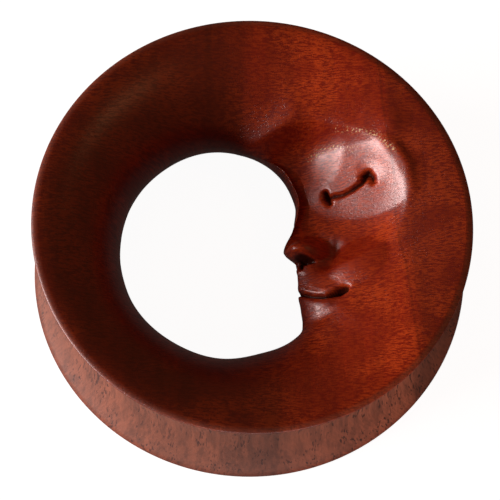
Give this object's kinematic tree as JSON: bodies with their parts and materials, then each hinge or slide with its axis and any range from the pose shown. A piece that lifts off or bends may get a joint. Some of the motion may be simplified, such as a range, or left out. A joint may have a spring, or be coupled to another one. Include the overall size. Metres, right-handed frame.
{
  "type": "ear plug gauge",
  "caption": "Wooden double flared ear tunnel with a lobe groove; its off-centre hole is cut as the profile of a carved sleeping moon face.",
  "frame": {"origin": "centre of the bounding box in plan, on the surface that the back rim rests on", "axes": "+Z through the thickness, from the back to the carved front; +X from the plain thin side to the moon face; +Y towards the forehead of the face"},
  "size_m": [0.0412, 0.041, 0.0141],
  "materials": {
    "wood": "dense red-brown hardwood, fine short grain and pores, satin oil polish"
  },
  "bodies": {
    "root": {"moon_tunnel": "wood"}
  },
  "joints": []
}
